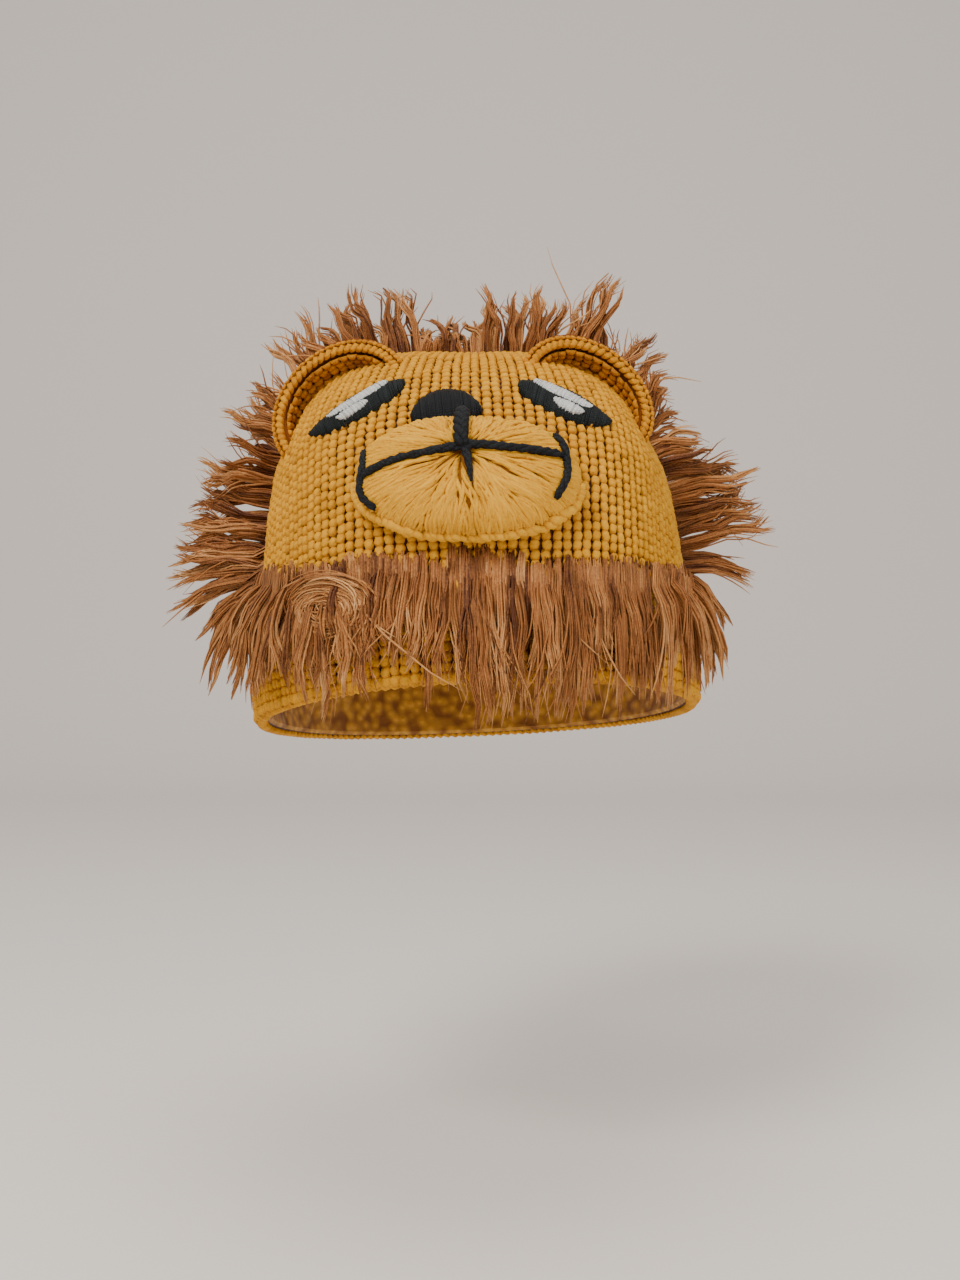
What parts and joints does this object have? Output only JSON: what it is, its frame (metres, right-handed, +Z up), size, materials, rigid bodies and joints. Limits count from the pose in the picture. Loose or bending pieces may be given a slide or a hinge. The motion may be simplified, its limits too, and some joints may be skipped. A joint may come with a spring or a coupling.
{
  "type": "lion beanie",
  "caption": "Chunky knitted beanie with a lion's face on its front, cupped ears on the crown and a loop of brown yarn locks as a mane.",
  "frame": {"origin": "inside of the crown's top, where the cap sits on a head", "axes": "+Z up, the face looks along -Y, +X towards the wearer's left"},
  "size_m": [0.2455, 0.2169, 0.1923],
  "materials": {
    "cap_yarn": "chunky mustard wool in stocking stitch",
    "ear_yarn": "mustard wool, purl side showing",
    "muzzle_yarn": "soft golden yarn laid in strands over stuffing",
    "black_yarn": "black yarn, satin stitch and cord",
    "eye_black_yarn": "glossy greenish black thread in satin stitch",
    "white_yarn": "white yarn in satin stitch",
    "mane_yarn": "silky unspun reddish brown yarn"
  },
  "bodies": {
    "root": {"cap": "cap_yarn", "ear_left": "ear_yarn", "ear_right": "ear_yarn", "muzzle": "muzzle_yarn", "nose": "black_yarn", "mouth": "black_yarn", "eye_left": "eye_black_yarn", "eye_right": "eye_black_yarn", "eye_left_white_upper": "white_yarn", "eye_left_white_lower": "white_yarn", "eye_right_white_upper": "white_yarn", "eye_right_white_lower": "white_yarn", "mane": "mane_yarn"}
  },
  "joints": []
}
